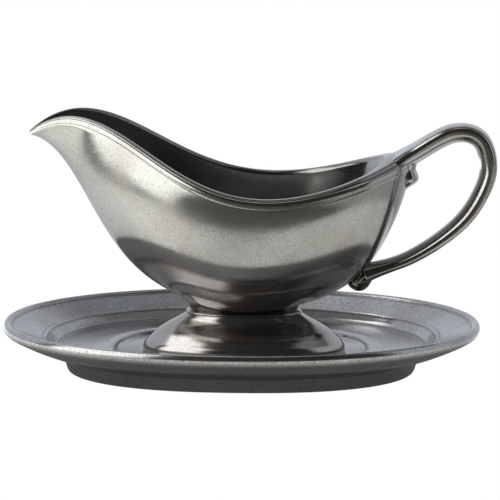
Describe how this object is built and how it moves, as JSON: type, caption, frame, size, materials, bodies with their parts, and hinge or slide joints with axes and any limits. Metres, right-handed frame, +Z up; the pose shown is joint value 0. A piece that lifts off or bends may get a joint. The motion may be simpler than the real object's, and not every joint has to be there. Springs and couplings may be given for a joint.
{
  "type": "gravy boat on tray",
  "caption": "Footed gravy boat with a high pouring spout and a looped strap handle, standing in the well of a loose oval tray.",
  "frame": {"origin": "middle of the bounding box's bottom face, on the plane the tray stands on", "axes": "+X from the spout to the handle along the boat, +Z up, out of the tray; the spout is at -X"},
  "size_m": [0.2504, 0.1722, 0.1301],
  "materials": {
    "tray_glaze": "satin metallic glaze",
    "boat_glaze": "satin metallic glaze"
  },
  "bodies": {
    "tray": {"tray": "tray_glaze"},
    "boat": {"bowl": "boat_glaze", "pedestal_foot": "boat_glaze", "handle": "boat_glaze", "upper_spur": "boat_glaze", "lower_spur": "boat_glaze"}
  },
  "joints": [
    {"name": "boat_lift", "type": "slide", "parent": "tray", "child": "boat", "axis": [0, 0, 1], "range_m": [0, 0.15]}
  ]
}
